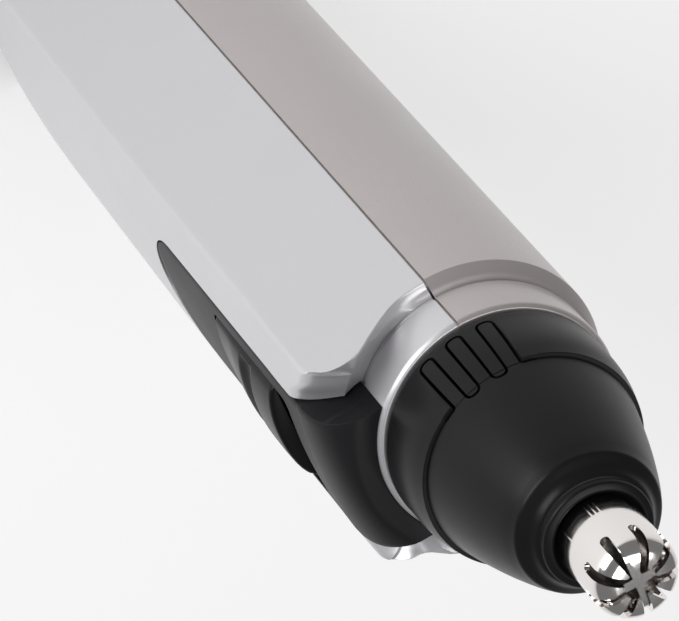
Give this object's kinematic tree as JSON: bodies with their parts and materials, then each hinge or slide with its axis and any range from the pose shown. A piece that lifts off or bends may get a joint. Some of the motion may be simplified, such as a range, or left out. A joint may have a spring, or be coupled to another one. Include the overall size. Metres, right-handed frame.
{
  "type": "nose hair trimmer",
  "caption": "Battery nose hair trimmer with a D-shaped silver case, black grip, slide switch, twist-off tapered head and slotted steel blade tube turned by a motor.",
  "frame": {"origin": "on the blade's axis, at the centre of the flat foot of the battery cap", "axes": "+Z along the blade's axis to the cutting tip, the grip and switch face -Y, +X to the right seen from the grip"},
  "size_m": [0.0258, 0.0287, 0.145],
  "materials": {
    "silver_case": "satin metallic paint",
    "soft_black": "satin moulded",
    "black_plastic": "satin moulded",
    "grey_frame": "moulded",
    "white_nylon": "moulded",
    "seal_rubber": "matt",
    "cell_jacket": "printed film, plain",
    "contact_brass": "stamped",
    "bush_bronze": "sintered",
    "winding_copper": "enamelled wire",
    "motor_steel": "plated",
    "ferrite": "matt",
    "shaft_steel": "ground",
    "blade_steel": "polished stainless"
  },
  "bodies": {
    "root": {"front_shell": "silver_case", "back_shell": "silver_case", "grip_panel": "soft_black", "chassis": "grey_frame", "neck_socket": "grey_frame", "shaft_seal": "seal_rubber", "battery": "cell_jacket", "positive_contact": "contact_brass", "negative_strip": "contact_brass", "motor_strip": "contact_brass", "switch_plate": "contact_brass", "motor_sleeve": "seal_rubber", "motor_can": "motor_steel", "motor_end_cap": "white_nylon", "motor_bearings": "bush_bronze", "field_magnets": "ferrite", "motor_brushes": "winding_copper", "motor_terminals": "contact_brass"},
    "switch": {"switch_button": "black_plastic", "switch_wiper": "contact_brass"},
    "rotor": {"motor_shaft": "shaft_steel", "armature": "motor_steel", "windings": "winding_copper", "commutator": "winding_copper", "drive_dog": "white_nylon", "blade_shaft": "white_nylon", "blade_spring": "shaft_steel", "inner_blade": "blade_steel"},
    "seal_carrier": {"head_seal": "seal_rubber"},
    "head": {"head_collar": "black_plastic", "nose_cone": "black_plastic", "blade_bezel": "black_plastic", "outer_blade": "blade_steel"},
    "cap": {"battery_cap": "silver_case", "cap_seal": "seal_rubber", "cap_contact": "contact_brass", "negative_spring": "shaft_steel"}
  },
  "joints": [
    {"name": "motor_spin", "type": "hinge", "parent": "root", "child": "rotor", "pos_m": [0, 0, 0.08], "axis": [0, 0, 1], "continuous": true},
    {"name": "switch_slide", "type": "slide", "parent": "root", "child": "switch", "axis": [0, 0, 1], "range_m": [0, 0.0033]},
    {"name": "head_lift", "type": "slide", "parent": "root", "child": "seal_carrier", "axis": [0, 0, 1], "range_m": [0, 0.038]},
    {"name": "head_twist", "type": "hinge", "parent": "seal_carrier", "child": "head", "pos_m": [0, 0, 0.12], "axis": [0, 0, 1], "range_deg": [0, 30]},
    {"name": "cap_pull", "type": "slide", "parent": "root", "child": "cap", "axis": [0, 0, -1], "range_m": [0, 0.012]}
  ]
}
